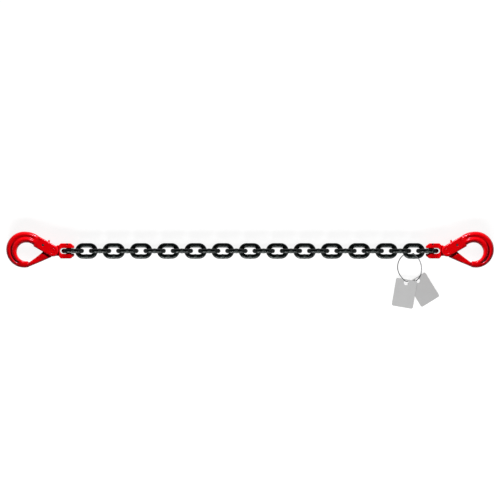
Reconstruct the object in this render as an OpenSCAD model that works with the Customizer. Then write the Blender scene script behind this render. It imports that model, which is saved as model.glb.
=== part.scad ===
// Lashing chain: a short-link alloy chain with a self-locking clevis hook at each end,
// and a wire ring with two identity plates on the last face-on link.
// Frame: the origin is the centre of the middle link, X runs along the chain to the end
// that carries the plates, Z points up and the chain lies flat and straight.

/* [Chain] */
// Diameter of the chain's wire
chain_d = 8; // [7.6:0.1:8.2]
// Inside length of one link, its pitch
link_inner_l = 24; // [23.8:0.1:24.4]
// Inside width of one link
link_inner_w = 11.6; // [11.4:0.1:12.2]
// How much thicker the wire is at the weld
weld_rise = 0.5; // [0.2:0.1:0.8]
// Length of the thickened weld
weld_l = 6.5; // [5:0.5:8]
// Free play between two links
link_play = 0.1; // [0.06:0.02:0.2]

/* [Hook] */
// Thickness across the two cheeks
cheeks_w = 25.2; // [24.6:0.2:26]
// Gap between the two cheeks
cheeks_gap = 10.4; // [10.2:0.1:10.8]
// Half width of the shank
shank_half_w = 9.9; // [9.6:0.1:10.1]
// Radius of the round opening
bowl_inner_r = 16.25; // [16:0.25:16.5]
// Radius of the bowl's outer edge
bowl_outer_r = 31.8; // [31.6:0.1:32]
// Thickness of the bowl's inner bead, before it is rounded
bowl_bead_w = 21; // [19:0.5:21.5]
// Thickness of the bowl's outer rim
bowl_rim_w = 17; // [15:0.5:18]
// Depth of the groove between bead and rim, on each side
bowl_groove = 3; // [1:0.25:3.5]

/* [Latch] */
// Thickness of the latch arm
arm_w = 17.5; // [16:0.5:18.5]
// Width across the two ears that hold the load pin
ears_w = 26.8; // [26:0.2:27.2]
// Gap between the ears, where the chain goes in
ears_gap = 9.6; // [9.4:0.1:10]
// Radius of the ears
ear_r = 10.3; // [10:0.1:10.4]

/* [Pins] */
// Diameter of the load pin
load_pin_d = 10; // [9.6:0.1:10]
// Diameter of the pivot pin
pivot_pin_d = 9; // [8:0.1:9.4]
// Diameter of the trigger's pin
trigger_pin_d = 4; // [3.6:0.1:4.2]
// Diameter of the pin that keeps the load pin in
retaining_pin_d = 2.6; // [2.2:0.1:2.8]
// Clearance of a pin in a bore that turns on it, on the radius
running_fit = 0.05; // [0.03:0.01:0.08]

/* [Ring and plates] */
// Diameter of the ring's wire
ring_wire_d = 1.6; // [1.4:0.1:1.7]
// Width of one plate
plate_w = 37.5; // [36:0.5:38]
// Length of one plate
plate_l = 49.5; // [48:0.5:51]
// Thickness of one plate
plate_t = 1; // [0.8:0.1:1.1]
// Radius of a plate's corners
plate_corner_r = 3; // [1:0.5:4]
// Diameter of the hole in a plate
plate_hole_d = 8.4; // [8:0.1:8.6]

/* [Hidden] */
$fn = 64;

links_n = 27;
middle_link = 14;
wire_r = chain_d / 2;
step = link_inner_l - link_play;
bend_r = (link_inner_w + chain_d) / 2;
leg_l = link_inner_l + chain_d - 2 * bend_r;

// Places of the hook's own pieces, from its pivot, which is the origin of the hook's drawing
// The load pin's centre
load_pin_at = [27.8, 0];
// The retaining pin's centre, in the upper ear
retaining_pin_at = [load_pin_at[0] - 2.6, 11.4, 0];
// Direction of the shank, from the pivot to the bowl
shank_angle = 150;
along = [cos(shank_angle), sin(shank_angle)];
across = [sin(shank_angle), -cos(shank_angle)];
shank_l = 34;
fork_l = 25.5;
trigger_pin_along = 20;
bowl_inner_at = [-47, -1.75];
bowl_outer_at = [-50.35, 2.3];
bowl_from = 38;
bowl_to = 281.5;
cheek_clear = 0.45;
hook_pivot_x = (links_n - middle_link) * step + link_inner_l / 2 - load_pin_d / 2 - link_play
    + load_pin_at[0];

HOOK_PIECES = ["hook", "latch_body", "load_pin", "retaining_pin", "pivot_pin",
    "trigger", "trigger_pin", "trigger_spring"];

function link_name(i) = str("link_", i < 10 ? "0" : "", i);
// A point of the hook's drawing from its place along and across the shank
function on_shank(a, n) = a * along + n * across;

// One link, face-on in the XY plane
module bent_end() {
    translate([leg_l / 2, 0, 0])
        rotate([0, 0, -90])
            rotate_extrude(angle = 180)
                translate([bend_r, 0])
                    circle(r = wire_r);
}

module leg() {
    translate([-leg_l / 2, bend_r, 0])
        rotate([0, 90, 0])
            cylinder(r = wire_r, h = leg_l);
}

// The welded leg: the upset metal makes a low barrel round the middle of the wire
module weld() {
    flank = weld_l / 4;
    translate([0, -bend_r, 0])
        rotate([0, 90, 0])
            rotate_extrude()
                polygon([
                    [0, -weld_l / 2], [wire_r, -weld_l / 2],
                    [wire_r + weld_rise * 0.8, -weld_l / 2 + flank],
                    [wire_r + weld_rise, 0],
                    [wire_r + weld_rise * 0.8, weld_l / 2 - flank],
                    [wire_r, weld_l / 2], [0, weld_l / 2]
                ]);
}

module welded_leg() {
    stub = (leg_l - weld_l) / 2;
    for (end = [-1, 1])
        translate([end * (weld_l + stub) / 2, -bend_r, 0])
            rotate([0, 90, 0])
                cylinder(r = wire_r, h = stub, center = true);
    weld();
}

module chain_link(i) {
    edge_on = i % 2 == 1;
    color("#26292a")
        translate([(i - middle_link) * step, 0, 0])
            rotate([edge_on ? -90 : 0, 0, 0]) {
                bent_end();
                rotate([0, 0, 180]) bent_end();
                leg();
                welded_leg();
            }
}

// The bowl: a grooved section that runs round the opening from the shank to the tip
// How far the edges leave their circles towards the shank, as a share from 0 to 1
function to_shank(a) = max(0, (90 - a) / 52);
// How far the section has turned from grooved to plain towards the tip
function to_tip(a) = let (s = max(0, min(1, (a - 215) / 50))) s * s * (3 - 2 * s);
function inner_edge(a) = bowl_inner_r + 1.3 * pow(to_shank(a), 1.5);
function outer_edge(a) = let (
        offset_v = bowl_outer_at - bowl_inner_at,
        along_ray = offset_v * [cos(a), sin(a)]
    ) along_ray + sqrt(pow(bowl_outer_r, 2) - offset_v * offset_v + pow(along_ray, 2))
        + 4.4 * pow(to_shank(a), 1.3);
// Half thickness of the section at share u of the way from the inner edge to the outer one
function half_thickness(a, u) = let (
        plain = to_tip(a),
        bead = (bowl_bead_w - 3.5 * plain) / 2,
        rim = (bowl_rim_w - 1.5 * plain) / 2,
        round_off = pow(1 - pow(abs(2 * u - 1), 2.7), 1 / 2.7),
        blend = u * u * (3 - 2 * u),
        groove = exp(-pow((u - 0.52) / 0.13, 2))
    ) round_off * (bead + (rim - bead) * blend - bowl_groove * (1 - plain) * groove);
function section_point(a, u, side) = let (
        r = inner_edge(a) + u * (outer_edge(a) - inner_edge(a))
    ) [bowl_inner_at[0] + r * cos(a), bowl_inner_at[1] + r * sin(a), side * half_thickness(a, u)];

module bowl() {
    stations = 40;
    half_n = 15;
    ring_n = 2 * half_n;
    shares = [for (k = [0:half_n]) 0.5 - 0.5 * cos(180 * k / half_n)];
    points = [for (s = [0:stations]) let (a = bowl_from + (bowl_to - bowl_from) * s / stations)
        for (k = [0:ring_n - 1])
            k <= half_n ? section_point(a, shares[k], 1) : section_point(a, shares[ring_n - k], -1)];
    sides = [for (s = [0:stations - 1], k = [0:ring_n - 1]) let (
            m = (k + 1) % ring_n,
            here = s * ring_n,
            next = here + ring_n
        ) each [[here + k, next + m, here + m], [here + k, next + k, next + m]]];
    // Each cap is cut into strips that cross the section from one face to the other
    function strip(k) = k == 0 ? [0, 1, ring_n - 1]
        : k == half_n - 1 ? [k, half_n, ring_n - k]
        : [k, k + 1, ring_n - k - 1, ring_n - k];
    start_cap = [for (k = [0:half_n - 1]) strip(k)];
    end_cap = [for (k = [0:half_n - 1]) let (f = strip(k))
        [for (i = [len(f) - 1:-1:0]) stations * ring_n + f[i]]];
    polyhedron(points, concat(sides, start_cap, end_cap), convexity = 4);
}

// The tongue on the tip, which seats in the latch arm's nose
nose_x = -41.3;
tip_gap = 0.4;
tongue_l = 4;
tongue_w = 6;
module tip_tongue() {
    translate([nose_x - tip_gap - 2, -26.2, -tongue_w / 2])
        cube([tongue_l + 2, 6.6, tongue_w]);
}

// The cheeks: a chamfered bar along the shank with a half-round end about the pivot
cheek_chamfer = 1.2;
function cheek_profile() = let (
        w = shank_half_w, t = cheeks_w / 2, c = cheek_chamfer
    ) [[0, -t], [w - c, -t], [w, c - t], [w, t - c], [w - c, t], [0, t]];
module cheek_block() {
    rotate([0, 0, shank_angle - 90]) {
        rotate([0, 0, 180])
            rotate_extrude(angle = 180)
                polygon(cheek_profile());
        rotate([-90, 0, 0])
            linear_extrude(shank_l)
                for (side = [0, 1])
                    mirror([side, 0])
                        polygon(cheek_profile());
    }
}

// The shank slopes down from the cheeks' faces to the bowl
module shoulder_cut() {
    slope = 4;
    for (side = [0, 1])
        mirror([0, 0, side])
            rotate([0, 0, shank_angle])
                translate([shank_l - slope, 0, cheeks_w / 2])
                    rotate([0, 38, 0])
                        translate([0, -20, 0])
                            cube([20, 40, 10]);
}

module hook() {
    difference() {
        union() {
            difference() {
                cheek_block();
                shoulder_cut();
            }
            difference() {
                bowl();
                translate([nose_x - tip_gap, -40, -20])
                    cube([20, 30, 40]);
            }
            tip_tongue();
        }
        // The fork between the cheeks, with a round end
        rotate([0, 0, shank_angle])
            translate([0, 0, -cheeks_gap / 2]) {
                translate([-15, -20, 0]) cube([15 + fork_l, 40, cheeks_gap]);
            }
        cylinder(d = pivot_pin_d + 0.02, h = cheeks_w + 2, center = true);
        translate(concat(on_shank(trigger_pin_along, 0), -cheeks_w / 2 - 1))
            cylinder(d = trigger_pin_d + 0.02, h = cheeks_w + 2);
    }
}

// The latch body: the clevis for the chain, the tongue in the fork and the arm to the tip
// The clevis seen from above
neck_x = 10.6;
crotch_x = 12.6;
ear_end_x = load_pin_at[0] + 9.6;
module clevis_plan() {
    difference() {
        polygon([
            [neck_x, 10], [13.6, ears_w / 2], [31, ears_w / 2], [ear_end_x, 8.6],
            [ear_end_x, -8.6], [31, -ears_w / 2], [13.6, -ears_w / 2], [neck_x, -9]
        ]);
        translate([crotch_x + ears_gap / 2, 0]) circle(d = ears_gap);
        translate([crotch_x + ears_gap / 2, -ears_gap / 2]) square([30, ears_gap]);
    }
}

// The clevis seen from its side: a high neck beside the cheeks, a step down to a waist,
// and round about the load pin
module clevis_side() {
    half = [[neck_x - 1, 10.2], [12.8, 10.2], [15.4, 8.3], [19, 8.5], [load_pin_at[0] - 5.2, 8.9]];
    translate([load_pin_at[0], 0]) circle(r = ear_r);
    for (side = [0, 1])
        mirror([0, side])
            polygon(concat(half, [[load_pin_at[0] - 5.2, 0], [neck_x - 1, 0]]));
}

module clevis() {
    intersection() {
        linear_extrude(3 * ear_r, center = true) clevis_plan();
        rotate([90, 0, 0])
            linear_extrude(ears_w + 2, center = true) clevis_side();
    }
}

// The tongue is a disc on the pivot that runs on into the neck and along the arm
tongue_r = 9.6;
tongue_half = cheeks_gap / 2 - 0.2;
module latch_tongue() {
    linear_extrude(2 * tongue_half, center = true) {
        difference() {
            union() {
                circle(r = tongue_r);
                polygon([[0, tongue_r], [7, 10], [neck_x + 2, 10], [neck_x + 2, -9], [4.9, -8.7],
                    [-3.2, -9.6], [-10.2, -14.2], [-16, -12.8], [-18.9, -2.6], [-17.2, -0.2],
                    [-9, -4.5], [0, 0]]);
            }
            // Relief that the trigger's nose runs in while the hook opens
            trigger_relief();
        }
    }
}

// The trigger's nose lies in this pocket of the tongue
relief_r = 7.4;
relief_from = 55;
relief_to = 127;
module trigger_relief() {
    difference() {
        polygon([for (a = [relief_from, (relief_from + relief_to) / 2, relief_to])
            20 * [cos(a), sin(a)], [0, 0]]);
        circle(r = relief_r);
    }
}

// The arm: oval sections from below the cheeks to the nose
arm_top = [[-7.4, -8.6], [-19.3, -2.7], [-25, -7.3], [-33, -13.5], [-40.2, -18.7], [nose_x, -19.4]];
arm_low = [[-2.6, -10.9], [-11.5, -14.8], [-17.5, -17.5], [-26, -21.1], [-36, -25.2], [nose_x, -27.6]];
arm_half = [arm_w / 2 - 1.2, arm_w / 2, arm_w / 2, arm_w / 2, arm_w / 2 - 0.4, arm_w / 2 - 1];

module latch_arm() {
    sides_n = 20;
    last = len(arm_top) - 1;
    points = [for (s = [0:last], k = [0:sides_n - 1]) let (
            a = 360 * k / sides_n,
            flat = 0.55,
            share = 0.5 + 0.5 * sign(cos(a)) * pow(abs(cos(a)), flat),
            at = arm_low[s] + share * (arm_top[s] - arm_low[s])
        ) [at[0], at[1], arm_half[s] * sign(sin(a)) * pow(abs(sin(a)), flat)]];
    sides = [for (s = [0:last - 1], k = [0:sides_n - 1]) let (
            m = (k + 1) % sides_n,
            here = s * sides_n,
            next = here + sides_n
        ) each [[here + k, here + m, next + m], [here + k, next + m, next + k]]];
    start_cap = [for (k = [sides_n - 1:-1:0]) k];
    end_cap = [for (k = [0:sides_n - 1]) last * sides_n + k];
    polyhedron(points, concat(sides, [start_cap, end_cap]), convexity = 4);
}

// A shallow blank panel on each face of the arm
module arm_panels() {
    panel_l = 15;
    panel_w = 5.2;
    depth = 0.5;
    for (side = [0, 1])
        mirror([0, 0, side])
            translate([-25.6, -14.9, arm_w / 2 - depth])
                rotate([0, 0, 33.5])
                    linear_extrude(5) {
                        square([panel_l - panel_w, panel_w], center = true);
                        for (end = [-1, 1])
                            translate([end * (panel_l - panel_w) / 2, 0]) circle(d = panel_w);
                    }
}

module latch_body() {
    difference() {
        union() {
            clevis();
            latch_tongue();
            difference() {
                latch_arm();
                // The cheeks turn past the arm here
                cylinder(r = shank_half_w + cheek_clear, h = 40, center = true);
                arm_panels();
            }
        }
        cylinder(d = pivot_pin_d + 2 * running_fit, h = 40, center = true);
        translate([load_pin_at[0], 0, 0])
            rotate([90, 0, 0])
                cylinder(d = load_pin_d + 0.02, h = 40, center = true);
        translate(retaining_pin_at)
            cylinder(d = retaining_pin_d + 0.02, h = 40, center = true);
        // The slot that takes the tip's tongue
        translate([nose_x - 1, -40, -tongue_w / 2 - 0.4])
            cube([tongue_l + 1.1, 30, tongue_w + 0.8]);
    }
}

module load_pin() {
    difference() {
        translate([load_pin_at[0], 0, 0])
            rotate([90, 0, 0])
                cylinder(d = load_pin_d, h = ears_w - 0.6, center = true);
        translate(retaining_pin_at)
            cylinder(d = retaining_pin_d + 0.02, h = 40, center = true);
    }
}

// A rolled spring pin, slit along its length
module retaining_pin() {
    translate(retaining_pin_at)
        difference() {
            cylinder(d = retaining_pin_d, h = 18.6, center = true);
            cylinder(d = retaining_pin_d - 1.1, h = 20, center = true);
            translate([0, -0.2, -10]) cube([3, 0.4, 20]);
        }
}

module pivot_pin() {
    cylinder(d = pivot_pin_d, h = cheeks_w - 0.4, center = true);
}

module trigger_pin() {
    translate(concat(on_shank(trigger_pin_along, 0), 0))
        cylinder(d = trigger_pin_d, h = cheeks_w - 0.4, center = true);
}

// The trigger: a rocker on its pin, with a nose over the tongue and a thumb piece that
// stands out of the fork
trigger_w = 8.6;
spring_wire = 0.8;
spring_turns = 4;
spring_space = (spring_turns + 1) * spring_wire + 0.4;
module rounded_bar(a, b, r) {
    d = b - a;
    for (p = [a, b]) translate(p) circle(r = r);
    translate(a)
        rotate(atan2(d[1], d[0]))
            translate([0, -r]) square([norm(d), 2 * r]);
}

module trigger_plan() {
    heel = on_shank(trigger_pin_along, 0);
    knee = on_shank(13, 7.3);
    circle_r = 3.9;
    translate(heel) circle(r = circle_r);
    rounded_bar(heel, knee, 2);
    rounded_bar(knee, on_shank(8.4, 5.5), 1.2);
    rounded_bar(knee, on_shank(14.8, 12), 1.6);
}

module trigger() {
    pin_at = concat(on_shank(trigger_pin_along, 0), 0);
    difference() {
        linear_extrude(trigger_w, center = true) trigger_plan();
        translate(pin_at)
            cylinder(d = trigger_pin_d + 2 * running_fit, h = 20, center = true);
        translate(pin_at + [0, 0, trigger_w / 2 - spring_space])
            cylinder(r = 4.6, h = 20);
    }
}

// The trigger's torsion spring, wound round the trigger's pin
module swept_wire(centres, r, sides_n) {
    last = len(centres) - 1;
    points = [for (s = [0:last]) let (
            run = centres[min(s + 1, last)] - centres[max(s - 1, 0)],
            t = run / norm(run),
            side = let (c = cross(t, [0, 0, 1])) c / norm(c),
            up = cross(side, t)
        ) for (k = [0:sides_n - 1]) let (a = 360 * k / sides_n)
            centres[s] + r * (cos(a) * side + sin(a) * up)];
    sides = [for (s = [0:last - 1], k = [0:sides_n - 1]) let (
            m = (k + 1) % sides_n,
            here = s * sides_n,
            next = here + sides_n
        ) each [[here + k, here + m, next + m], [here + k, next + m, next + k]]];
    start_cap = [for (k = [sides_n - 1:-1:0]) k];
    end_cap = [for (k = [0:sides_n - 1]) last * sides_n + k];
    polyhedron(points, concat(sides, [start_cap, end_cap]), convexity = 6);
}

module trigger_spring() {
    coil_r = trigger_pin_d / 2 + 0.25 + spring_wire / 2;
    steps_per_turn = 14;
    pitch = spring_wire + 0.06;
    steps_n = spring_turns * steps_per_turn;
    z_from = trigger_w / 2 - spring_space + spring_wire / 2 + 0.15;
    pin_at = concat(on_shank(trigger_pin_along, 0), 0);
    coil = [for (s = [0:steps_n]) let (a = 360 * s / steps_per_turn + shank_angle - 90)
        pin_at + [coil_r * cos(a), coil_r * sin(a), z_from + pitch * s / steps_per_turn]];
    swept_wire(coil, spring_wire / 2, 6);
}

// Puts a piece of the hook's drawing at the chain's left or right end
module at_end(side) {
    rotate([0, side == "right" ? 180 : 0, 0])
        translate([-hook_pivot_x, 0, 0])
            children();
}

module hook_piece(piece, side) {
    at_end(side) {
        if (piece == "hook") color("#d80000") hook();
        if (piece == "latch_body") color("#d80000") latch_body();
        if (piece == "load_pin") color("#9a1010") load_pin();
        if (piece == "retaining_pin") color("#6e6e70") retaining_pin();
        if (piece == "pivot_pin") color("#b00808") pivot_pin();
        if (piece == "trigger") color("#c40404") trigger();
        if (piece == "trigger_pin") color("#6e6e70") trigger_pin();
        if (piece == "trigger_spring") color("#8d8f92") trigger_spring();
    }
}

// The ring: a closed loop of wire round the lower leg of the last face-on link. It runs
// under that link on the left, comes up between the neighbouring links and crosses over
// the leg. It comes down through each plate's hole from outside and runs under both plates
// in between.
ring_route = [
    [286.6, -4.2, 1], [287.6, -6.2, 5.6], [291, -9.2, 6.4], [294.8, -13, 6],
    [298, -19, 3.2], [300.2, -26, -1.4], [300.8, -33, -5.6], [299.9, -40, -8.4],
    [297.8, -45.4, -9.4], [295.4, -48.8, -10.2], [293, -51.2, -11.6], [290.6, -52.9, -12.8],
    [286.8, -53.6, -12.95], [282.4, -53.2, -12.85], [279.4, -52.9, -11.8], [276.6, -53.3, -9.8],
    [273.2, -53.2, -7.4], [269.6, -50.6, -6.6], [265.6, -46, -6.6], [262, -40.6, -6.4],
    [259.6, -34.5, -6.4], [258.9, -27, -6.6], [260.4, -19.4, -6.8], [264.2, -12.2, -6.8],
    [269.4, -7.6, -6.6], [276, -6, -6.4], [282, -5.9, -6], [285.4, -4.8, -3.4]
];
ring_rings = 4;
// A smooth closed curve through the route's points
function on_route(i, t) = let (
        n = len(ring_route),
        a = ring_route[(i + n - 1) % n], b = ring_route[i],
        c = ring_route[(i + 1) % n], d = ring_route[(i + 2) % n]
    ) 0.5 * (2 * b + (c - a) * t + (2 * a - 5 * b + 4 * c - d) * t * t
        + (3 * b - a - 3 * c + d) * t * t * t);

module tag_ring() {
    sides_n = 8;
    n = len(ring_route) * ring_rings;
    centres = [for (i = [0:len(ring_route) - 1], j = [0:ring_rings - 1])
        on_route(i, j / ring_rings)];
    points = [for (s = [0:n - 1]) let (
            run = centres[(s + 1) % n] - centres[(s + n - 1) % n],
            t = run / norm(run),
            out = centres[s] - [279.8, -30, -4],
            side = let (c = cross(t, out)) c / norm(c),
            up = cross(side, t)
        ) for (k = [0:sides_n - 1]) let (a = 360 * k / sides_n)
            centres[s] + ring_wire_d / 2 * (cos(a) * side + sin(a) * up)];
    faces = [for (s = [0:n - 1], k = [0:sides_n - 1]) let (
            m = (k + 1) % sides_n,
            here = s * sides_n,
            next = ((s + 1) % n) * sides_n
        ) each [[here + k, here + m, next + m], [here + k, next + m, next + k]]];
    color("#8f9092") polyhedron(points, faces, convexity = 6);
}

// A plate lies on its own face, hole at the origin and its length towards -Y
hole_from_top = 6.1;
module plate() {
    c = plate_corner_r;
    linear_extrude(plate_t, center = true)
        difference() {
            translate([-plate_w / 2, hole_from_top - plate_l]) {
                translate([c, 0]) square([plate_w - 2 * c, plate_l]);
                translate([0, c]) square([plate_w, plate_l - 2 * c]);
                for (x = [c, plate_w - c], y = [c, plate_l - c])
                    translate([x, y]) circle(r = c);
            }
            circle(d = plate_hole_d);
        }
}

// Each plate leans on the wire: tilt lowers its far end, and lean lifts its right edge
front_at = [274.1, -56, -8.6];
front_turn = -9.8;
front_tilt = 3.4;
front_lean = 6;
back_at = [294.3, -52.2, -11.6];
back_turn = 31.6;
back_tilt = 0;
back_lean = -4.5;
module placed_plate(at, turn, tilt, lean) {
    translate(at)
        rotate([0, 0, turn])
            rotate([tilt, -lean, 0])
                plate();
}

module tag_front() { color("#c0c0c0") placed_plate(front_at, front_turn, front_tilt, front_lean); }

module tag_back() { color("#c0c0c0") placed_plate(back_at, back_turn, back_tilt, back_lean); }

for (i = [1:links_n])
    chain_link(i);
for (side = ["left", "right"], piece = HOOK_PIECES)
    hook_piece(piece, side);
tag_ring();
tag_front();
tag_back();
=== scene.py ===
# %% [markdown]
# # A lashing chain with self-locking hooks
#
# The object lies flat and straight: twenty-seven black links, a red forged hook at each
# end, and near the right-hand hook a wire ring with two blank plates. Every size comes
# from the frame, which is the imported model, so this file adds only what a frame does not
# have: rounded forged edges, the swelling of a weld, paint, steel and light.
#
# The frame is loaded first, and its box is kept: the floor is laid just under it. Two
# small helpers follow, because every piece below needs them: one puts a new object into
# the scene, the other gives a mesh its material.

# %% The frame
import math

import bmesh
import bpy
import numpy as np
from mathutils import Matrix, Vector, noise


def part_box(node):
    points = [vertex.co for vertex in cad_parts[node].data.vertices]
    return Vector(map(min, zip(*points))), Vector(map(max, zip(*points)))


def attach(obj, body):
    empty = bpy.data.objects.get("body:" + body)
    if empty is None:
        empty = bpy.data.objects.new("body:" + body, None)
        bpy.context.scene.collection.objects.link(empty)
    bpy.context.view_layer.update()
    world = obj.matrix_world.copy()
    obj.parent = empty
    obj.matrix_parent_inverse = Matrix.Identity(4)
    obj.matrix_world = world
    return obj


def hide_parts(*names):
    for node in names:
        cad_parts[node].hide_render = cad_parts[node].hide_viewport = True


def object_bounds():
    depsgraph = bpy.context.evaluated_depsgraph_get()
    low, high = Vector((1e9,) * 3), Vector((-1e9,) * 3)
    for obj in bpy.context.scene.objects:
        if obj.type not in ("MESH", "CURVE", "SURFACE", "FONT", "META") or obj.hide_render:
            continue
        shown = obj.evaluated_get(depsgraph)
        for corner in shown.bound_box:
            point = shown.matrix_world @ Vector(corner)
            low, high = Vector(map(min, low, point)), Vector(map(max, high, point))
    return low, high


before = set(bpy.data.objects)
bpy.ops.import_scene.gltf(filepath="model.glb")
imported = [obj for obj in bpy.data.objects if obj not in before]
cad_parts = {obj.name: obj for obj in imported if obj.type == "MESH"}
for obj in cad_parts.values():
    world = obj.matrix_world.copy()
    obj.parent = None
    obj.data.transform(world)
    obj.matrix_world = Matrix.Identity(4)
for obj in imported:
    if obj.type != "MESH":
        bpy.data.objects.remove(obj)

frame_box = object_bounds()
MM = 0.001


def put(name, data):
    """A new object at the origin, in the scene."""
    made = bpy.data.objects.new(name, data)
    bpy.context.scene.collection.objects.link(made)
    return made


def paint(mesh, material):
    """Gives a mesh its one material."""
    mesh.materials.clear()
    mesh.materials.append(material)


print("frame size in mm:", [round(v / MM, 1) for v in frame_box[1] - frame_box[0]])

# %% [markdown]
# ## The camera
#
# The picture is taken from straight above with a long lens, so that the chain shows no
# perspective: the two hooks look the same size and no side wall of a link shows. A lens
# of 300 mm on a 36 mm sensor needs more than seven metres of distance to take in the
# picture's width. The distance follows from the width by similar triangles.

# %% The camera
PICTURE_WIDTH = 876.5 * MM
PICTURE_CENTRE = Vector((-0.1 * MM, 1.6 * MM, 0))
LENS = 300
SENSOR = 36
SIGHT = 60


def make_camera():
    data = bpy.data.cameras.new("overhead_camera")
    data.lens = LENS
    data.sensor_width = SENSOR
    data.clip_end = SIGHT
    camera = put("overhead_camera", data)
    camera.location = PICTURE_CENTRE + Vector((0, 0, PICTURE_WIDTH * LENS / SENSOR))
    bpy.context.scene.camera = camera
    return camera


camera = make_camera()
bpy.context.scene.view_settings.view_transform = "Standard"
print("camera height in m:", round(camera.location.z, 3))

# %% [markdown]
# ## Writing node trees as sums
#
# A shader or a geometry tree is a lot of small sums. Clicked together node by node they
# are hard to read, so one class wraps an output socket and lets Python's own signs add
# the Math nodes: `0.3 + 0.1 * cloud` becomes a Multiply and an Add node. The reflected
# forms let the plain number stand first.

# %% Nodes as sums


class Link:
    """One output socket. Signs between numbers add Math nodes."""

    def __init__(self, tree, socket):
        self.tree = tree
        self.socket = socket

    def math(self, operation, *values):
        return self.tree.node("ShaderNodeMath", {"operation": operation},
            dict(enumerate(values)))

    def __add__(self, other):
        return self.math("ADD", self, other)

    __radd__ = __add__

    def __sub__(self, other):
        return self.math("SUBTRACT", self, other)

    def __mul__(self, other):
        return self.math("MULTIPLY", self, other)

    __rmul__ = __mul__

    def __truediv__(self, other):
        return self.math("DIVIDE", self, other)

    def output(self, key):
        """Another output of the same node."""
        return Link(self.tree, find_socket(self.socket.node.outputs, key))


def find_socket(sockets, key):
    if isinstance(key, int):
        return sockets[key]
    for socket in sockets:
        if socket.identifier == key:
            return socket
    return sockets[key]


print("an output socket can now be added, subtracted, multiplied and divided")

# %% [markdown]
# ## The nodes that every tree needs
#
# Any node comes from `node`. It takes the node's type, then its settings, because they
# change which sockets the node has, and then the values or links of its sockets, by name,
# by identifier or by place. Noise is asked for by the size of its spots, which is easier
# to judge than a scale, and colours are written as a picture shows them.

# %% Trees


class Tree:
    """A node tree of any kind, with the few nodes that every finish here needs."""

    def __init__(self, nodes):
        self.nodes = nodes

    def node(self, kind, settings=None, inputs=None, output=0):
        made = self.nodes.nodes.new(kind)
        for name, value in (settings or {}).items():
            setattr(made, name, value)
        for key, value in (inputs or {}).items():
            socket = find_socket(made.inputs, key)
            if isinstance(value, Link):
                self.nodes.links.new(value.socket, socket)
            else:
                socket.default_value = value
        return Link(self, find_socket(made.outputs, output))

    def noise(self, where, size, detail=2.0, roughness=0.5):
        """Soft random values from 0 to 1, in spots of about that size in metres."""
        return self.node("ShaderNodeTexNoise", None,
            {"Vector": where, "Scale": 1 / size, "Detail": detail, "Roughness": roughness})

    def ramp(self, value, low, high, from_value=0.0, to_value=1.0):
        """A smooth step: from_value below low, to_value above high."""
        return self.node("ShaderNodeMapRange", {"interpolation_type": "SMOOTHSTEP"},
            {"Value": value, "From Min": low, "From Max": high,
             "To Min": from_value, "To Max": to_value})

    def blend(self, share, first, second):
        """Two colours mixed by share, which no Math node could do without turning grey."""
        return self.node("ShaderNodeMix", {"data_type": "RGBA"},
            {"Factor_Float": share, "A_Color": first, "B_Color": second}, "Result_Color")


def colour(red, green, blue):
    """A colour as a photograph's pixels give it, 0 to 255, turned into light."""
    share = [v / 255 for v in (red, green, blue)]
    return [v / 12.92 if v <= 0.04045 else ((v + 0.055) / 1.055) ** 2.4
            for v in share] + [1.0]


print("tree helpers ready; mid grey is", round(colour(188, 188, 188)[0], 3), "as light")

# %% [markdown]
# ## Starting a finish
#
# Every finish here is one Principled shader, because the library's export can bake it.
# `Finish` opens the material, gives the object's own coordinates in metres, and closes it
# with the shader. Only what changes over a surface is linked. What is the same all over,
# such as how strongly the lacquer mirrors, is set as a plain number.

# %% Finish


class Finish(Tree):
    """A material with one Principled shader."""

    def __init__(self, name):
        self.material = bpy.data.materials.new(name)
        self.material.use_nodes = True
        super().__init__(self.material.node_tree)
        self.nodes.nodes.clear()
        self.where = self.node("ShaderNodeTexCoord", None, None, "Object")

    def attribute(self, name):
        """A number that the mesh carries at each point."""
        return self.node("ShaderNodeAttribute", {"attribute_name": name}, None, "Fac")

    def bump(self, height, depth):
        """Turns a height from 0 to 1 into dents of that depth in metres."""
        return self.node("ShaderNodeBump", None, {"Height": height, "Distance": depth})

    def close(self, **sockets):
        inputs = {name.replace("_", " ").title().replace("Ior", "IOR"): value
                  for name, value in sockets.items()}
        shader = self.node("ShaderNodeBsdfPrincipled", None, inputs)
        self.node_output(shader)
        return self.material

    def node_output(self, shader):
        end = self.nodes.nodes.new("ShaderNodeOutputMaterial")
        self.nodes.links.new(shader.socket, end.inputs["Surface"])


print("finishes are made in metres; one millimetre is", MM)

# %% [markdown]
# ## Black lacquer on the chain
#
# Grade 8 chain is hardened, then dipped in a thin black lacquer. From above it looks
# nearly black, with a soft grey-green light along the flank that faces the lamps. So the
# colour is close to black and the look is in the gloss: a smooth lacquer over a slightly
# uneven surface. The weld keeps a rougher, greyer skin than the drawn wire, and the wire
# is scuffed to bare steel where two links rub. The links' own mesh carries both places as
# attributes, because they follow the link and not the room.

# %% Black lacquer
DEEP_BLACK = colour(2, 5, 5)
THIN_BLACK = colour(12, 17, 16)
WELD_GREY = colour(62, 68, 66)
SCUFFED_GREY = colour(84, 86, 84)
LACQUER_DENTS = 0.045 * MM


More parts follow.
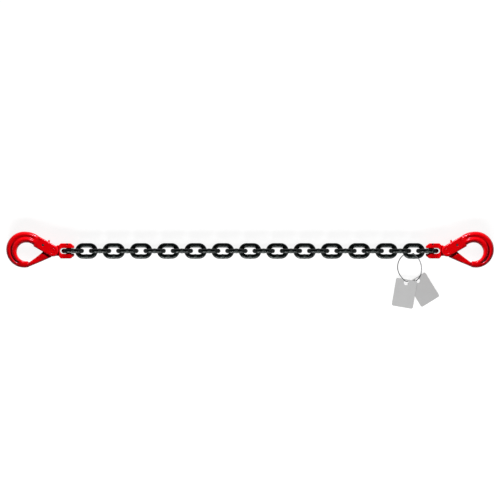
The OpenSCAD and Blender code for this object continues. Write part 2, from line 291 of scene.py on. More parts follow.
def chain_black():
    f = Finish("chain_black_lacquer")
    cloud = f.noise(f.where, 7 * MM, 3)
    grain = f.noise(f.where, 0.9 * MM, 4, 0.6)
    pits = f.ramp(f.noise(f.where, 1.6 * MM, 2), 0.62, 0.74)
    weld = f.attribute("weld")
    rubbed = f.attribute("rubbed") * f.ramp(grain, 0.35, 0.6)
    tone = f.blend(cloud, DEEP_BLACK, THIN_BLACK)
    tone = f.blend(weld * f.ramp(grain, 0.4, 0.6, 0.25, 0.9), tone, WELD_GREY)
    tone = f.blend(rubbed * 0.5, tone, SCUFFED_GREY)
    height = grain * 0.35 + cloud * 0.4 - pits * 0.5 + weld * grain * 0.8
    return f.close(
        base_color=tone,
        metallic=rubbed * 0.6,
        roughness=0.2 + 0.08 * cloud + 0.16 * weld + 0.1 * pits,
        specular_ior_level=0.26,
        specular_tint=(0.93, 1.0, 0.98, 1.0),
        normal=f.bump(height, LACQUER_DENTS),
    )


CHAIN_BLACK = chain_black()
print("made", CHAIN_BLACK.name, "with", len(CHAIN_BLACK.node_tree.nodes), "nodes")

# %% [markdown]
# ## Red powder coat on the hooks
#
# The hooks are drop forged, shot blasted and powder coated. Powder flows into a thick
# glossy skin with a fine orange-peel. Below it the forging is still uneven in dents a few
# millimetres wide. The mesh carries how hollow each point is and how deep it lies in the
# groove. The red is darkened in the groove and in corners, which is painted shade, and
# made lighter and pinker on the edges, which is a painted highlight.

# %% Red powder coat
COAT_RED = (colour(216, 0, 5), colour(228, 2, 10))
# Painted shade for the groove round the bowl.
GROOVE_SHADE_RED = colour(70, 0, 3)
# Painted shade for corners and creases.
CREASE_SHADE_RED = colour(96, 0, 5)
# A painted highlight for the edges, lighter and pinker than the coat.
EDGE_HIGHLIGHT_RED = colour(232, 20, 40)
COAT_DENTS = 0.06 * MM


def hook_red():
    f = Finish("hook_red_powder_coat")
    cloud = f.noise(f.where, 9 * MM, 3)
    peel = f.noise(f.where, 1.1 * MM, 2)
    dents = f.noise(f.where, 4 * MM, 2)
    hollow = f.attribute("hollow")
    in_crease = f.ramp(hollow, 0.12, 0.9)
    edge_highlight = f.ramp(hollow, -0.25, -0.95)
    groove_shade = f.ramp(f.attribute("groove_shade"), 0.25, 1)
    tone = f.blend(cloud, *COAT_RED)
    # Painted shade: the groove is darkened by its depth.
    tone = f.blend(groove_shade * 0.92, tone, GROOVE_SHADE_RED)
    # Painted shade: corners and creases are darkened.
    tone = f.blend(in_crease * 0.45, tone, CREASE_SHADE_RED)
    # Painted highlight: the edges are made lighter and pinker.
    tone = f.blend(edge_highlight * 0.25, tone, EDGE_HIGHLIGHT_RED)
    return f.close(
        base_color=tone,
        roughness=0.15 + 0.08 * cloud + 0.2 * in_crease,
        specular_ior_level=0.2,
        specular_tint=(0.85, 0.7, 1.0, 1.0),
        normal=f.bump(peel * 0.3 + dents * 0.8, COAT_DENTS),
    )


HOOK_RED = hook_red()
print("made", HOOK_RED.name, "with", len(HOOK_RED.node_tree.nodes), "nodes")

# %% [markdown]
# ## Pins, spring, ring and plates
#
# The load and pivot pins are driven in before the hook is coated, so they are red like
# the rest. The thin pins show dark steel ends, the spring and the ring are drawn wire with
# a fine grain, and the plates are light grey sheet with a faint roll grain, dull enough to
# look alike at any tilt. One function makes all bare steels, since they differ only in
# tone, in how rough they are and in how much bare metal shows.

# %% Steel and sheet
SHEET_GREY = (colour(186, 186, 186), colour(197, 197, 197))
ROLL_STRETCH = (1, 14, 1)
STEEL_GRAIN = 0.02 * MM
SHEET_GRAIN = 0.015 * MM


def bare_steel(name, dark, light, roughness, metallic=1.0):
    f = Finish(name)
    cloud = f.noise(f.where, 3 * MM, 3)
    grain = f.noise(f.where, 0.3 * MM, 3, 0.6)
    tone = f.blend(cloud, colour(*dark), colour(*light))
    return f.close(
        base_color=tone,
        metallic=metallic,
        roughness=roughness - 0.08 + 0.16 * grain,
        normal=f.bump(grain, STEEL_GRAIN),
    )


def plate_grey():
    f = Finish("plate_grey_sheet")
    run = f.node("ShaderNodeMapping", None, {"Vector": f.where, "Scale": ROLL_STRETCH})
    grain = f.noise(run, 6 * MM, 4, 0.6)
    cloud = f.noise(f.where, 11 * MM, 2)
    tone = f.blend(grain * 0.5 + cloud * 0.5, *SHEET_GREY)
    return f.close(
        base_color=tone,
        metallic=0.05,
        roughness=0.56 + 0.12 * grain,
        specular_ior_level=0.15,
        normal=f.bump(grain, SHEET_GRAIN),
    )


PIN_STEEL = bare_steel("pin_dark_steel", (40, 34, 34), (72, 62, 62), 0.5, 0.6)
SPRING_STEEL = bare_steel("spring_drawn_steel", (120, 120, 122), (164, 165, 168), 0.3)
RING_STEEL = bare_steel("ring_drawn_wire", (70, 71, 73), (100, 101, 103), 0.4, 0.5)
PLATE_GREY = plate_grey()
print("made", [m.name for m in (PIN_STEEL, SPRING_STEEL, RING_STEEL, PLATE_GREY)])

# %% [markdown]
# ## Shaping by geometry nodes
#
# A chain is one shape repeated, so a node tree makes it. `Shape` opens a tree with named
# inputs, and `as_mesh` runs it once with given values and keeps a plain mesh: the export
# cannot carry instances or live modifiers. An input is found by its identifier, since two
# inputs could share a name. `carry` stores a number at each point under the name that a
# material reads.

# %% Geometry trees


class Shape(Tree):
    """A geometry tree whose inputs are sizes in metres."""

    def __init__(self, name, **sizes):
        self.group = bpy.data.node_groups.new(name, "GeometryNodeTree")
        super().__init__(self.group)
        self.identifiers = {}
        for size, value in sizes.items():
            socket = self.group.interface.new_socket(size, in_out="INPUT",
                socket_type="NodeSocketFloat")
            socket.default_value = value
            self.identifiers[size] = socket.identifier
        self.group.interface.new_socket("Geometry", in_out="OUTPUT",
            socket_type="NodeSocketGeometry")
        self.given = self.group.nodes.new("NodeGroupInput")

    def size(self, name):
        return Link(self, find_socket(self.given.outputs, self.identifiers[name]))

    def along(self, x=0.0, y=0.0, z=0.0):
        return self.node("ShaderNodeCombineXYZ", None, {"X": x, "Y": y, "Z": z})

    def carry(self, geometry, name, value):
        """Stores a number at each point of the geometry."""
        return self.node("GeometryNodeStoreNamedAttribute",
            {"data_type": "FLOAT", "domain": "POINT"},
            {"Geometry": geometry, "Name": name, "Value": value})

    def finish(self, geometry, material):
        smooth = self.node("GeometryNodeSetShadeSmooth", None, {"Geometry": geometry})
        real = self.node("GeometryNodeRealizeInstances", None, {"Geometry": smooth})
        painted = self.node("GeometryNodeSetMaterial", None,
            {"Geometry": real, "Material": material})
        end = self.group.nodes.new("NodeGroupOutput")
        self.group.links.new(painted.socket, end.inputs[0])

    def as_mesh(self, name, material, **values):
        """Runs the tree with these values and returns a plain mesh object."""
        holder = put(name + "_maker", bpy.data.meshes.new(name + "_maker"))
        modifier = holder.modifiers.new("shape", "NODES")
        modifier.node_group = self.group
        for size, value in values.items():
            modifier[self.identifiers[size]] = float(value)
        depsgraph = bpy.context.evaluated_depsgraph_get()
        mesh = bpy.data.meshes.new_from_object(holder.evaluated_get(depsgraph),
            depsgraph=depsgraph)
        bpy.data.objects.remove(holder)
        mesh.name = name
        paint(mesh, material)
        return put(name, mesh)


def triangles(obj):
    return sum(len(p.vertices) - 2 for p in obj.data.polygons)


print("geometry trees ready")

# %% [markdown]
# ## Reading the link from the frame
#
# A face-on link's box gives everything. The welded leg stands out further than the bare
# one, which gives the weld's rise. The box is as high as the wire with that rise above and
# below it. The length less two wires is the pitch, and it has to come out a little longer
# than the step from link to link, by the play between two links. The middle link stands at
# the origin, and every other link is a whole number of steps away.

# %% Sizes of the chain
LINKS = sorted(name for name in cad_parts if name.startswith("link_"))
MIDDLE_LINK = (len(LINKS) + 1) // 2


def link_number(name):
    return int(name.split("_")[1])


def centre_of(node):
    low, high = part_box(node)
    return (low + high) / 2


flat_low, flat_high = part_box("link_02")
WELD_RISE = -flat_low.y - flat_high.y
WIRE = flat_high.z - flat_low.z - 2 * WELD_RISE
LINK_LENGTH = flat_high.x - flat_low.x
LINK_WIDTH = 2 * flat_high.y
LINK_STEP = (centre_of(LINKS[-1]).x - centre_of(LINKS[0]).x) / (len(LINKS) - 1)
print("wire, pitch, step and weld rise in mm:",
    [round(v / MM, 2) for v in (WIRE, LINK_LENGTH - 2 * WIRE, LINK_STEP, WELD_RISE)])

# %% [markdown]
# ## One link
#
# A link is a length of drawn wire bent round and butt welded in the middle of one leg.
# The pressed weld leaves a low barrel with three small beads where it was trimmed. In the
# tree, a rectangle with filleted corners is the wire's centre line. A circle is swept
# along it, and its radius swells at the weld. The line carries two numbers on to the
# skin: how much of a weld a place is, and how near it is to the crown of the bend.

# %% The link tree
WELD_LENGTH = 6.5 * MM
BARREL_SHARE = 0.45
BEAD_SPACING = 0.86
SKIN_MOVE = 0.1 * MM
NEARLY_HALF = 0.4999
POINTS_PER_BEND = 24
POINTS_ALONG = 160
POINTS_ROUND = 28


def link_tree():
    s = Shape("forged_link", Wire=WIRE, Length=LINK_LENGTH, Width=LINK_WIDTH,
        Weld_Rise=WELD_RISE, Weld_Length=WELD_LENGTH, Skin=SKIN_MOVE,
        Place=0, Edge_On=0, Seed=0)
    wire = s.size("Wire")
    centre_line = s.node("GeometryNodeCurvePrimitiveQuadrilateral", None,
        {"Width": s.size("Length") - wire, "Height": s.size("Width") - wire})
    bend = (s.size("Width") - wire) * NEARLY_HALF
    centre_line = s.node("GeometryNodeFilletCurve", {"mode": "POLY"},
        {"Curve": centre_line, "Count": POINTS_PER_BEND, "Radius": bend,
         "Limit Radius": True})
    centre_line = s.node("GeometryNodeResampleCurve", None,
        {"Curve": centre_line, "Count": POINTS_ALONG})
    at = s.node("ShaderNodeSeparateXYZ", None, {0: s.node("GeometryNodeInputPosition")})
    from_middle = at.math("ABSOLUTE", at)
    on_lower_leg = s.ramp(at.output("Y") / s.size("Width"), -0.30, -0.34)
    half_weld = s.size("Weld_Length") / 2
    barrel = on_lower_leg * s.ramp(from_middle / half_weld, 1.15, 0.1)
    beads = at.math("COSINE", at / half_weld * 2 * math.pi / BEAD_SPACING) * 0.5 + 0.5
    form = BARREL_SHARE + beads * (1 - BARREL_SHARE)
    swell = 1 + barrel * form * s.size("Weld_Rise") / (wire / 2)
    crown = s.ramp(from_middle / s.size("Length"), 0.36, 0.46)
    line = s.carry(centre_line, "weld", barrel)
    line = s.carry(line, "crown", crown)
    section = s.node("GeometryNodeCurvePrimitiveCircle", None,
        {"Resolution": POINTS_ROUND, "Radius": wire / 2})
    skin = s.node("GeometryNodeCurveToMesh", None,
        {"Curve": line, "Profile Curve": section, "Scale": swell})
    return s, skin


shape, skin = link_tree()
print("the wire takes", len(shape.group.nodes), "nodes")

# %% [markdown]
# ## Wear, unevenness and place
#
# Two links rub on the inner side of their bends, so that is where steel shows through.
# A little noise along the normal stands for the uneven skin. Last, the tree turns the
# link and moves it along the chain. Twenty-seven meshes from one tree then differ only in
# their seed, turn and place.

# %% Finishing the link tree


def inside_of_bend(s, skin):
    """Where the neighbour rubs: on the crown of the bend, on its inner side."""
    place = s.node("GeometryNodeInputPosition")
    at = s.node("ShaderNodeSeparateXYZ", None, {0: place})
    crown = s.node("GeometryNodeInputNamedAttribute", {"data_type": "FLOAT"},
        {"Name": "crown"})
    inner_x = s.size("Length") / 2 - s.size("Wire")
    inner = s.ramp(at.math("ABSOLUTE", at) / inner_x, 1.22, 1.04)
    return s.carry(skin, "rubbed", crown * inner)


def uneven_skin(s, skin):
    """Moves each point along its normal by a little noise, another patch for each link."""
    place = s.node("GeometryNodeInputPosition")
    shift = s.along(s.size("Seed"), s.size("Seed") * 0.7)
    patch = s.node("ShaderNodeVectorMath", {"operation": "ADD"}, {0: place, 1: shift})
    dents = s.noise(patch, 5 * MM, 2) - 0.5
    out = s.node("GeometryNodeInputNormal")
    move = s.node("ShaderNodeVectorMath", {"operation": "SCALE"},
        {0: out, "Scale": dents * s.size("Skin")})
    return s.node("GeometryNodeSetPosition", None, {"Geometry": skin, "Offset": move})


def place_link(s, skin):
    """Turns every second link on its edge and moves it along the chain."""
    turn = s.along(s.size("Edge_On") * -math.pi / 2)
    return s.node("GeometryNodeTransform", None,
        {"Geometry": skin, "Translation": s.along(s.size("Place")), "Rotation": turn})


skin = inside_of_bend(shape, skin)
skin = uneven_skin(shape, skin)
shape.finish(place_link(shape, skin), CHAIN_BLACK)
print("link tree has", len(shape.group.nodes), "nodes")

# %% [markdown]
# ## Twenty-seven links
#
# The loop gives each link its place, its turn and its seed, and lets it ride on its own
# body in place of the frame's link.

# %% The links
links = []
for name in LINKS:
    number = link_number(name)
    link = shape.as_mesh(name + "_wire", CHAIN_BLACK,
        Place=(number - MIDDLE_LINK) * LINK_STEP, Edge_On=number % 2, Seed=number)
    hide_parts(name)
    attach(link, name)
    links.append(link)
print(len(links), "links of", triangles(links[0]), "triangles")

# %% [markdown]
# ## Forged surfaces
#
# A hook is forged in two dies. Nothing on it is sharp: every edge is rounded, and the
# surface is slightly uneven. The frame's hook has the right form with crisp edges, so a
# copy of it is taken, joined into one skin, rebuilt in even small faces and smoothed.
# That rounds each edge by about the size of the faces.

# %% Forged skins
JOIN_WITHIN = 0.002 * MM


def skin_of(node, name):
    """A copy of a frame node as one joined skin."""
    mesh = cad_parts[node].data.copy()
    skin = bmesh.new()
    skin.from_mesh(mesh)
    bmesh.ops.remove_doubles(skin, verts=skin.verts, dist=JOIN_WITHIN)
    skin.to_mesh(mesh)
    skin.free()
    return put(name, mesh)


def apply_modifiers(obj):
    depsgraph = bpy.context.evaluated_depsgraph_get()
    mesh = bpy.data.meshes.new_from_object(obj.evaluated_get(depsgraph),
        depsgraph=depsgraph)
    obj.modifiers.clear()
    obj.data = mesh


def rebuild_evenly(obj, face, passes):
    """Even square faces of that size, then smoothed to round the edges."""
    remesh = obj.modifiers.new("even faces", "REMESH")
    remesh.mode = "VOXEL"
    remesh.voxel_size = face
    apply_modifiers(obj)
    smooth = obj.modifiers.new("rounded edges", "CORRECTIVE_SMOOTH")
    smooth.use_only_smooth = True
    smooth.iterations = passes
    smooth.factor = 0.5
    apply_modifiers(obj)


print("forged skins are joined within", JOIN_WITHIN / MM, "mm")

# %% [markdown]
# ## How deep a point lies
#
# The red is darkened in hollows, as painted shade, and made lighter on edges, as a painted
# highlight, so each point needs to know how far it lies below the skin round it. The
# places of all points are averaged with those of their neighbours, again and again, which
# gives a softer skin. The distance from a point to that skin, along the normal, is its
# depth.
# Tables of numbers do this for a hundred thousand points at once, where a loop over them
# would be slow.

# %% Tables of points


def neighbour_mean(values, edges, counts):
    """For each point the mean of its neighbours' values."""
    total = np.zeros_like(values)
    for axis in range(values.shape[1]):
        for here, there in ((0, 1), (1, 0)):
            total[:, axis] += np.bincount(edges[:, here], values[edges[:, there], axis],
                len(values))
    return total / counts


def point_values(mesh):
    """The places and normals of a mesh's points as two tables."""
    places = np.zeros(len(mesh.vertices) * 3, np.float32)
    normals = np.zeros(len(mesh.vertices) * 3, np.float32)
    mesh.vertices.foreach_get("co", places)
    mesh.vertex_normals.foreach_get("vector", normals)
    return places.reshape(-1, 3), normals.reshape(-1, 3)


def neighbours(mesh):
    """The pairs of joined points, and how many neighbours each point has."""
    edges = np.zeros(len(mesh.edges) * 2, np.int32)
    mesh.edges.foreach_get("vertices", edges)
    counts = np.maximum(np.bincount(edges, minlength=len(mesh.vertices)), 1)[:, None]
    return edges.reshape(-1, 2), counts


def depth_below(mesh, passes):
    """How far each point lies below the mean of the skin round it."""
    places, normals = point_values(mesh)
    edges, counts = neighbours(mesh)
    wide = places.astype(float)
    for _ in range(passes):
        wide = neighbour_mean(wide, edges, counts)
    return ((wide - places) * normals).sum(1)


print("the hook has", len(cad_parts["left_hook"].data.vertices), "points as given")

# %% [markdown]
# ## Hollows, edges and the groove
#
# A few averages find what is narrow, such as corners and edges. Many find what is wide,
# such as the groove round the bowl. Both go with the mesh as attributes, where the red
# coat reads them for its painted shade and painted highlight. The groove's painted shade
# is made weaker towards the top of the bowl.

# %% Hollows
NEAR_PASSES = 4
WIDE_PASSES = 48
GROOVE_DEPTH = 0.4 * MM
# The groove's painted shade weakens with height on the bowl: where it starts, ends, and
# how much goes.
GROOVE_SHADE_FADES_AT = 5 * MM
GROOVE_SHADE_GONE_AT = 22 * MM
GROOVE_SHADE_LOST = 0.7


def store(mesh, name, values):
    attribute = mesh.attributes.new(name, "FLOAT", "POINT")
    attribute.data.foreach_set("value", np.clip(values, -1, 1).astype(np.float32))


def smooth_step(values, low, high):
    share = np.clip((values - low) / (high - low), 0, 1)
    return share * share * (3 - 2 * share)


def mark_hollows(mesh, grooved):
    """Stores hollow, -1 on an edge to 1 in a crease, and the groove's depth for its
    painted shade.
    """
    near = depth_below(mesh, NEAR_PASSES)
    store(mesh, "hollow", near / np.percentile(np.abs(near), 97))
    if grooved:
        height = point_values(mesh)[0][:, 1]
        # The groove's painted shade is weakened towards the top of the bowl.
        faded = smooth_step(height, GROOVE_SHADE_FADES_AT, GROOVE_SHADE_GONE_AT)
        depth = depth_below(mesh, WIDE_PASSES) / GROOVE_DEPTH
        store(mesh, "groove_shade", depth * (1 - GROOVE_SHADE_LOST * faded))


print("hollows are measured over", NEAR_PASSES, "and", WIDE_PASSES, "passes")

# %% [markdown]
# ## From a node to a forging
#
# The skin is moved a few hundredths of a millimetre by noise, so that no broad face
# mirrors like glass. `forge` puts the steps in order: rebuild, ease where it is asked
# for, dent, measure the hollows and paint.

# %% Forging
DENT_SIZE = 6 * MM


def dent(mesh, size, depth):
    """Moves the skin along its normals by soft noise."""
    places, normals = point_values(mesh)
    levels = np.array([noise.noise(Vector(p) / size)
        + 0.5 * noise.noise(Vector(p) / size * 2.3) for p in places.tolist()], np.float32)
    moved = places + normals * levels[:, None] * depth
    mesh.vertices.foreach_set("co", moved.ravel())
    mesh.update()


def forge(node, name, face, passes, depth, ease=None, grooved=False):
    """A red forging in place of a node: size of face, smoothing passes, depth of dents."""
    made = skin_of(node, name)
    rebuild_evenly(made, face, passes)
    if ease:
        ease(made.data)
    dent(made.data, DENT_SIZE, depth)
    made.data.shade_smooth()
    mark_hollows(made.data, grooved)
    paint(made.data, HOOK_RED)
    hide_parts(node)
    return made


print("forgings get dents", DENT_SIZE / MM, "mm wide")

# %% [markdown]
# ## The shoulder of the shank
#
# On the real forging the inner half of the shank runs into the bowl's bead without a
# step, and only the outer corner drops into the groove. The frame has one crisp slope
# across the whole shank. So the heights of the points round that slope are averaged with
# their neighbours' many times, weighted towards the inner half. Nothing moves sideways.
# The distances are measured from the pivot pin, down the shank and out across it.

# %% Easing the shoulder
SHANK_ANGLE = math.radians(150)
SHOULDER_AT = 33.5 * MM
SHOULDER_REACH = 8 * MM
INNER_HALF = 3.5 * MM
OUTER_CORNER = 7 * MM
UPPER_SKIN = 6 * MM
EASE_PASSES = 220


def ease_shoulder(side):
    """The easing for one side's hook, as a function of its mesh."""
    pivot = centre_of(side + "_pivot_pin")
    turned = -1 if side == "right" else 1

    def ease(mesh):
        places, _ = point_values(mesh)
        x, y = turned * (places[:, 0] - pivot.x), places[:, 1]
        down_shank = x * math.cos(SHANK_ANGLE) + y * math.sin(SHANK_ANGLE)
        outwards = x * math.sin(SHANK_ANGLE) - y * math.cos(SHANK_ANGLE)
        weight = 1 - smooth_step(np.abs(down_shank - SHOULDER_AT), 0.4 * SHOULDER_REACH,
            SHOULDER_REACH)
        weight *= 1 - smooth_step(outwards, INNER_HALF, OUTER_CORNER)
        weight *= np.abs(places[:, 2]) > UPPER_SKIN
        edges, counts = neighbours(mesh)
        height = places[:, 2:].astype(float)
        for _ in range(EASE_PASSES):
            height += weight[:, None] * (neighbour_mean(height, edges, counts) - height)
        places[:, 2] = height[:, 0]
        mesh.vertices.foreach_set("co", places.ravel())
        mesh.update()
        print(side, "shoulder eased at", int((weight > 0).sum()), "points")

    return ease


print("the shoulder is", SHOULDER_AT / MM, "mm from the pivot pin")

# %% [markdown]
# ## Hooks, latch bodies and triggers
#
# Both hooks are the same forging, and so are both latch bodies. Each one is finished from
# its own node, so that the right-hand pair stays turned over as the frame has it. Faces of
# half a millimetre keep the bowl's groove crisp, and the small trigger needs finer ones.

# %% The forgings
SIDES = ("left", "right")
HOOK_SKIN = {"face": 0.5 * MM, "passes": 7, "depth": 0.03 * MM, "grooved": True}
LATCH_SKIN = {"face": 0.45 * MM, "passes": 6, "depth": 0.02 * MM}
TRIGGER_SKIN = {"face": 0.22 * MM, "passes": 3, "depth": 0.01 * MM}
forgings = []
for side in SIDES:
    hook = forge(side + "_hook", side + "_hook_forging", ease=ease_shoulder(side),
        **HOOK_SKIN)
    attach(hook, side + "_hook")
    latch = forge(side + "_latch_body", side + "_latch_forging", **LATCH_SKIN)
    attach(latch, side + "_latch")
    trigger = forge(side + "_trigger", side + "_trigger_casting", **TRIGGER_SKIN)
    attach(trigger, side + "_trigger")
    forgings += [hook, latch, trigger]
for piece in forgings:
    print(piece.name, triangles(piece), "triangles")

# %% [markdown]
# ## Turned pins
#
# A pin is a turned part, so it is made by spinning half of its outline round its axis.
# Each end of the outline has a small chamfer, and in its middle a shallow dish, the mark
# of the punch. The places, lengths and widths come from the frame's own pins.

# %% A pin by spinning
SPIN_STEPS = 48


def pin_outline(radius, length, chamfer, dish):
    """Radius and height of the outline's points, from one end's middle to the other's."""
    half = length / 2
    end = [(radius * 0.28, half - dish), (radius * 0.42, half - dish * 0.3),
           (radius - chamfer * 1.6, half), (radius - chamfer * 0.5, half - chamfer * 0.35),
           (radius, half - chamfer)]
    return [(r, -h) for r, h in end] + [(r, h) for r, h in reversed(end)]


def smooth_object(name, skin):
    """Turns a skin into an object of its own."""
    mesh = bpy.data.meshes.new(name)
    skin.to_mesh(mesh)
    skin.free()
    mesh.shade_smooth()
    return put(name, mesh)


def spun(name, outline, centre, axis):
    """A closed turned solid round a line through centre."""
    skin = bmesh.new()
    side = axis.orthogonal().normalized()
    other = axis.cross(side).normalized()
    rings = []
    for radius, height in outline:
        rings.append([skin.verts.new(centre + axis * height + radius
            * (math.cos(a) * side + math.sin(a) * other))
            for a in (2 * math.pi * k / SPIN_STEPS for k in range(SPIN_STEPS))])
    for low, high in zip(rings, rings[1:]):
        for k in range(SPIN_STEPS):
            m = (k + 1) % SPIN_STEPS
            skin.faces.new((low[k], low[m], high[m], high[k]))
    for ring, turn in ((rings[0], -1), (rings[-1], 1)):
        middle = skin.verts.new(sum((v.co for v in ring), Vector()) / SPIN_STEPS)
        for k in range(SPIN_STEPS):
            pair = (ring[k], ring[(k + 1) % SPIN_STEPS])
            skin.faces.new((pair + (middle,))[::turn])
    skin.normal_update()
    return smooth_object(name, skin)


def pin_from(node, name, axis, end, material, body):
    low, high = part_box(node)
    size = high - low
    outline = pin_outline(size.x / 2, size.dot(axis), *end)
    pin = spun(name, outline, (low + high) / 2, axis)
    paint(pin.data, material)
    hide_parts(node)
    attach(pin, body)
    return pin


print("a turned pin has", SPIN_STEPS, "facets round it")

# %% [markdown]
# ## Three pins in each hook
#
# The load pin lies across the clevis. The pivot pin and the trigger's pin stand upright
# in the cheeks. An end is given as its chamfer and the depth of its dish.

# %% The pins
ALONG_Y = Vector((0, 1, 0))
ALONG_Z = Vector((0, 0, 1))
LOAD_END = (0.9 * MM, 0.3 * MM)
PIVOT_END = (0.5 * MM, 0.25 * MM)
TRIGGER_END = (0.35 * MM, 0.3 * MM)
pins = []
for side in SIDES:
    pins.append(pin_from(side + "_load_pin", side + "_load_pin_turned", ALONG_Y,
        LOAD_END, HOOK_RED, side + "_latch"))
    pins.append(pin_from(side + "_pivot_pin", side + "_pivot_rivet", ALONG_Z,
        PIVOT_END, HOOK_RED, side + "_hook"))
    pins.append(pin_from(side + "_trigger_pin", side + "_trigger_rivet", ALONG_Z,
        TRIGGER_END, PIN_STEEL, side + "_hook"))
print(len(pins), "pins of", triangles(pins[0]), "triangles")

# %% [markdown]
# ## The slit pins
#
# The pin that keeps the load pin in is rolled from spring steel and has a slit along it.
# The frame already has its true shape, so its node stays and only gets its steel.

# %% Slit pins
slit_pins = [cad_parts[side + "_retaining_pin"] for side in SIDES]
for pin in slit_pins:
    paint(pin.data, PIN_STEEL)
print(len(slit_pins), "slit pins painted with", PIN_STEEL.name)

# %% [markdown]
# ## The triggers' springs
#
# A torsion spring is a helix of round wire. The spiral node draws its centre line from
# the number of turns and the height, and a circle is swept along it. Its place and
# outer size come from the frame.

# %% Springs
SPRING_WIRE = 0.8 * MM
SPRING_TURNS = 4
POINTS_PER_TURN = 32
POINTS_ROUND_SPRING = 12


def spring_tree():
    s = Shape("torsion_spring", Wire=SPRING_WIRE, Radius=3 * MM, Height=3 * MM,
        Turns=SPRING_TURNS, X=0, Y=0, Z=0)
    centre_line = s.node("GeometryNodeCurveSpiral", None,
        {"Resolution": POINTS_PER_TURN, "Rotations": s.size("Turns"),
         "Start Radius": s.size("Radius"), "End Radius": s.size("Radius"),
         "Height": s.size("Height")})
    section = s.node("GeometryNodeCurvePrimitiveCircle", None,
        {"Resolution": POINTS_ROUND_SPRING, "Radius": s.size("Wire") / 2})
    coil = s.node("GeometryNodeCurveToMesh", None,
        {"Curve": centre_line, "Profile Curve": section, "Fill Caps": True})
    placed = s.node("GeometryNodeTransform", None,
        {"Geometry": coil, "Translation": s.along(s.size("X"), s.size("Y"), s.size("Z"))})
    s.finish(placed, SPRING_STEEL)
    return s


coil_shape = spring_tree()
springs = []
for side in SIDES:
    low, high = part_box(side + "_trigger_spring")
    centre = (low + high) / 2
    spring = coil_shape.as_mesh(side + "_spring_coil", SPRING_STEEL,
        Radius=(high.x - low.x - SPRING_WIRE) / 2, Height=high.z - low.z - SPRING_WIRE,
        X=centre.x, Y=centre.y, Z=low.z + SPRING_WIRE / 2)
    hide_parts(side + "_trigger_spring")
    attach(spring, side + "_trigger")
    springs.append(spring)
    print(spring.name, triangles(spring), "triangles")

# %% [markdown]
# ## The ring's route
#
# The ring is thin spring wire, bent closed round the leg of one link. It dips through
# both plates' holes, so it lies on no plane. Its route is the same short list of points
# as in the frame, in millimetres. A curve that passes through all of them joins them,
# because one that only comes near them would cut through a plate.

# %% The ring's route
RING_ROUTE = [
    (286.6, -4.2, 1), (287.6, -6.2, 5.6), (291, -9.2, 6.4), (294.8, -13, 6),
    (298, -19, 3.2), (300.2, -26, -1.4), (300.8, -33, -5.6), (299.9, -40, -8.4),
    (297.8, -45.4, -9.4), (295.4, -48.8, -10.2), (293, -51.2, -11.6),
    (290.6, -52.9, -12.8), (286.8, -53.6, -12.95), (282.4, -53.2, -12.85),
    (279.4, -52.9, -11.8), (276.6, -53.3, -9.8),
    (273.2, -53.2, -7.4), (269.6, -50.6, -6.6), (265.6, -46, -6.6), (262, -40.6, -6.4),
    (259.6, -34.5, -6.4), (258.9, -27, -6.6), (260.4, -19.4, -6.8), (264.2, -12.2, -6.8),
    (269.4, -7.6, -6.6), (276, -6, -6.4), (282, -5.9, -6), (285.4, -4.8, -3.4),
]
RING_STEPS = 6


def smooth_loop(route, steps):
    """A closed curve through the points, each stretch cut into steps."""
    count = len(route)
    points = [Vector(p) * MM for p in route]
    loop = []
    for i in range(count):
        a, b, c, d = (points[(i + k - 1) % count] for k in range(4))
        for j in range(steps):
            t = j / steps
            loop.append(0.5 * (2 * b + (c - a) * t + (2 * a - 5 * b + 4 * c - d) * t * t
                + (3 * b - a - 3 * c + d) * t ** 3))
    return loop


ring_line = smooth_loop(RING_ROUTE, RING_STEPS)
ring_length = sum((b - a).length for a, b in zip(ring_line, ring_line[1:] + ring_line[:1]))
print("the ring is", round(ring_length / MM), "mm long")

# %% [markdown]
# ## The ring's wire
#
# A circle is swept along the route. It needs a direction to start from at every place,
# and the loop's middle gives one that never jumps, so the skin closes without a twist.

# %% The ring
RING_WIRE = 1.6 * MM
RING_SIDES = 14


def swept_loop(name, loop, radius, sides):
    """A closed round wire along the loop, each circle turned by the loop's middle."""
    middle = sum(loop, Vector()) / len(loop)
    skin = bmesh.new()
    rings = []
    for i, place in enumerate(loop):
        run = (loop[(i + 1) % len(loop)] - loop[i - 1]).normalized()
        side = run.cross(place - middle).normalized()
        up = side.cross(run)
        rings.append([skin.verts.new(place + radius
            * (math.cos(a) * side + math.sin(a) * up))
            for a in (2 * math.pi * k / sides for k in range(sides))])
    for i, ring in enumerate(rings):
        after = rings[(i + 1) % len(rings)]
        for k in range(sides):
            m = (k + 1) % sides
            skin.faces.new((ring[k], after[k], after[m], ring[m]))
    bmesh.ops.recalc_face_normals(skin, faces=skin.faces)
    return smooth_object(name, skin)


ring = swept_loop("tag_ring_wire", ring_line, RING_WIRE / 2, RING_SIDES)
paint(ring.data, RING_STEEL)
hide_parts("tag_ring")
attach(ring, "tag_ring")
print(ring.name, triangles(ring), "triangles")

# %% [markdown]
# ## The plates
#
# Each plate is cut from sheet, tumbled so that its edges are no longer sharp, and left
# blank. The frame has the outline and the hole. A copy of it is joined into one skin and
# its sharp edges are bevelled by a fifth of a millimetre. Only the bevels are shaded
# smooth: a broad flat face that shares its shading with them would look pillowed.

# %% The plates
EDGE_ROUND = 0.18 * MM
EDGE_STEPS = 3
SHARP_EDGE = math.radians(40)
FLAT_FACE = 0.9999


